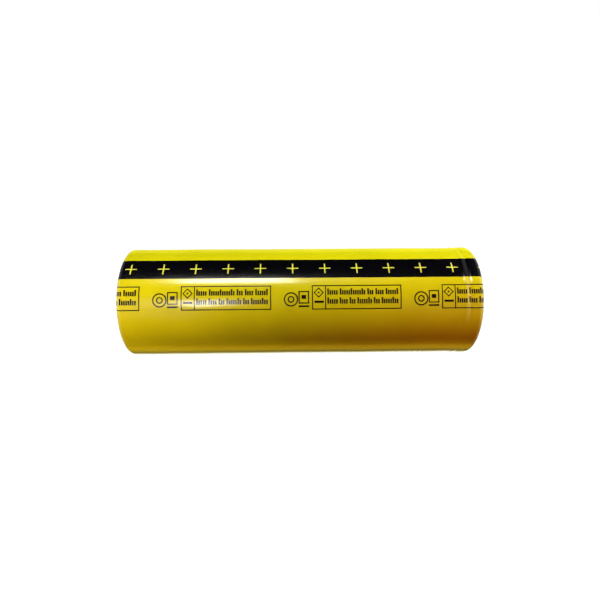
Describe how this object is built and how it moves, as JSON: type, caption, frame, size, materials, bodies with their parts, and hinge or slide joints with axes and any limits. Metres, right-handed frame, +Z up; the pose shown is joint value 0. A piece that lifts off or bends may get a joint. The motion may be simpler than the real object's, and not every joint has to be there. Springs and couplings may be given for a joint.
{
  "type": "round battery cell",
  "caption": "Round battery cell in a printed heat-shrink sleeve, with a beaded and crimped can, a raised positive terminal and a wound core.",
  "frame": {"origin": "on the cell's axis, halfway between the negative end and the top of the positive terminal", "axes": "+X along the axis to the positive terminal, +Z up with the cell lying on its side"},
  "size_m": [0.1232, 0.0388, 0.0388],
  "materials": {
    "printed_film": "glossy yellow heat-shrink film with a black stripe and thin dark print",
    "fish_paper": "matt off-white insulating paper",
    "nickel_steel": "nickel-plated drawn steel, satin",
    "bright_nickel": "nickel-plated pressed steel, bright",
    "aluminium": "rolled aluminium",
    "insulator": "matt insulating sheet",
    "gasket": "black moulded sealing plastic",
    "copper": "rolled copper foil",
    "graphite": "matt graphite coating",
    "separator": "translucent white film",
    "cathode_mix": "matt dark grey coating",
    "tape": "amber tape"
  },
  "bodies": {
    "root": {"sleeve": "printed_film", "end_cup": "fish_paper", "can": "nickel_steel", "terminal_cap": "bright_nickel", "vent_disc": "aluminium", "stack_insulator": "insulator", "base_plate": "aluminium", "gasket": "gasket", "positive_lead": "aluminium", "top_insulator": "insulator", "positive_collector": "aluminium", "anode_foil": "copper", "anode_coating": "graphite", "inner_separator": "separator", "cathode_foil": "aluminium", "cathode_coating": "cathode_mix", "outer_separator": "separator", "closing_tape": "tape", "core_pin": "nickel_steel", "negative_collector": "copper", "floor_insulator": "insulator"}
  },
  "joints": []
}
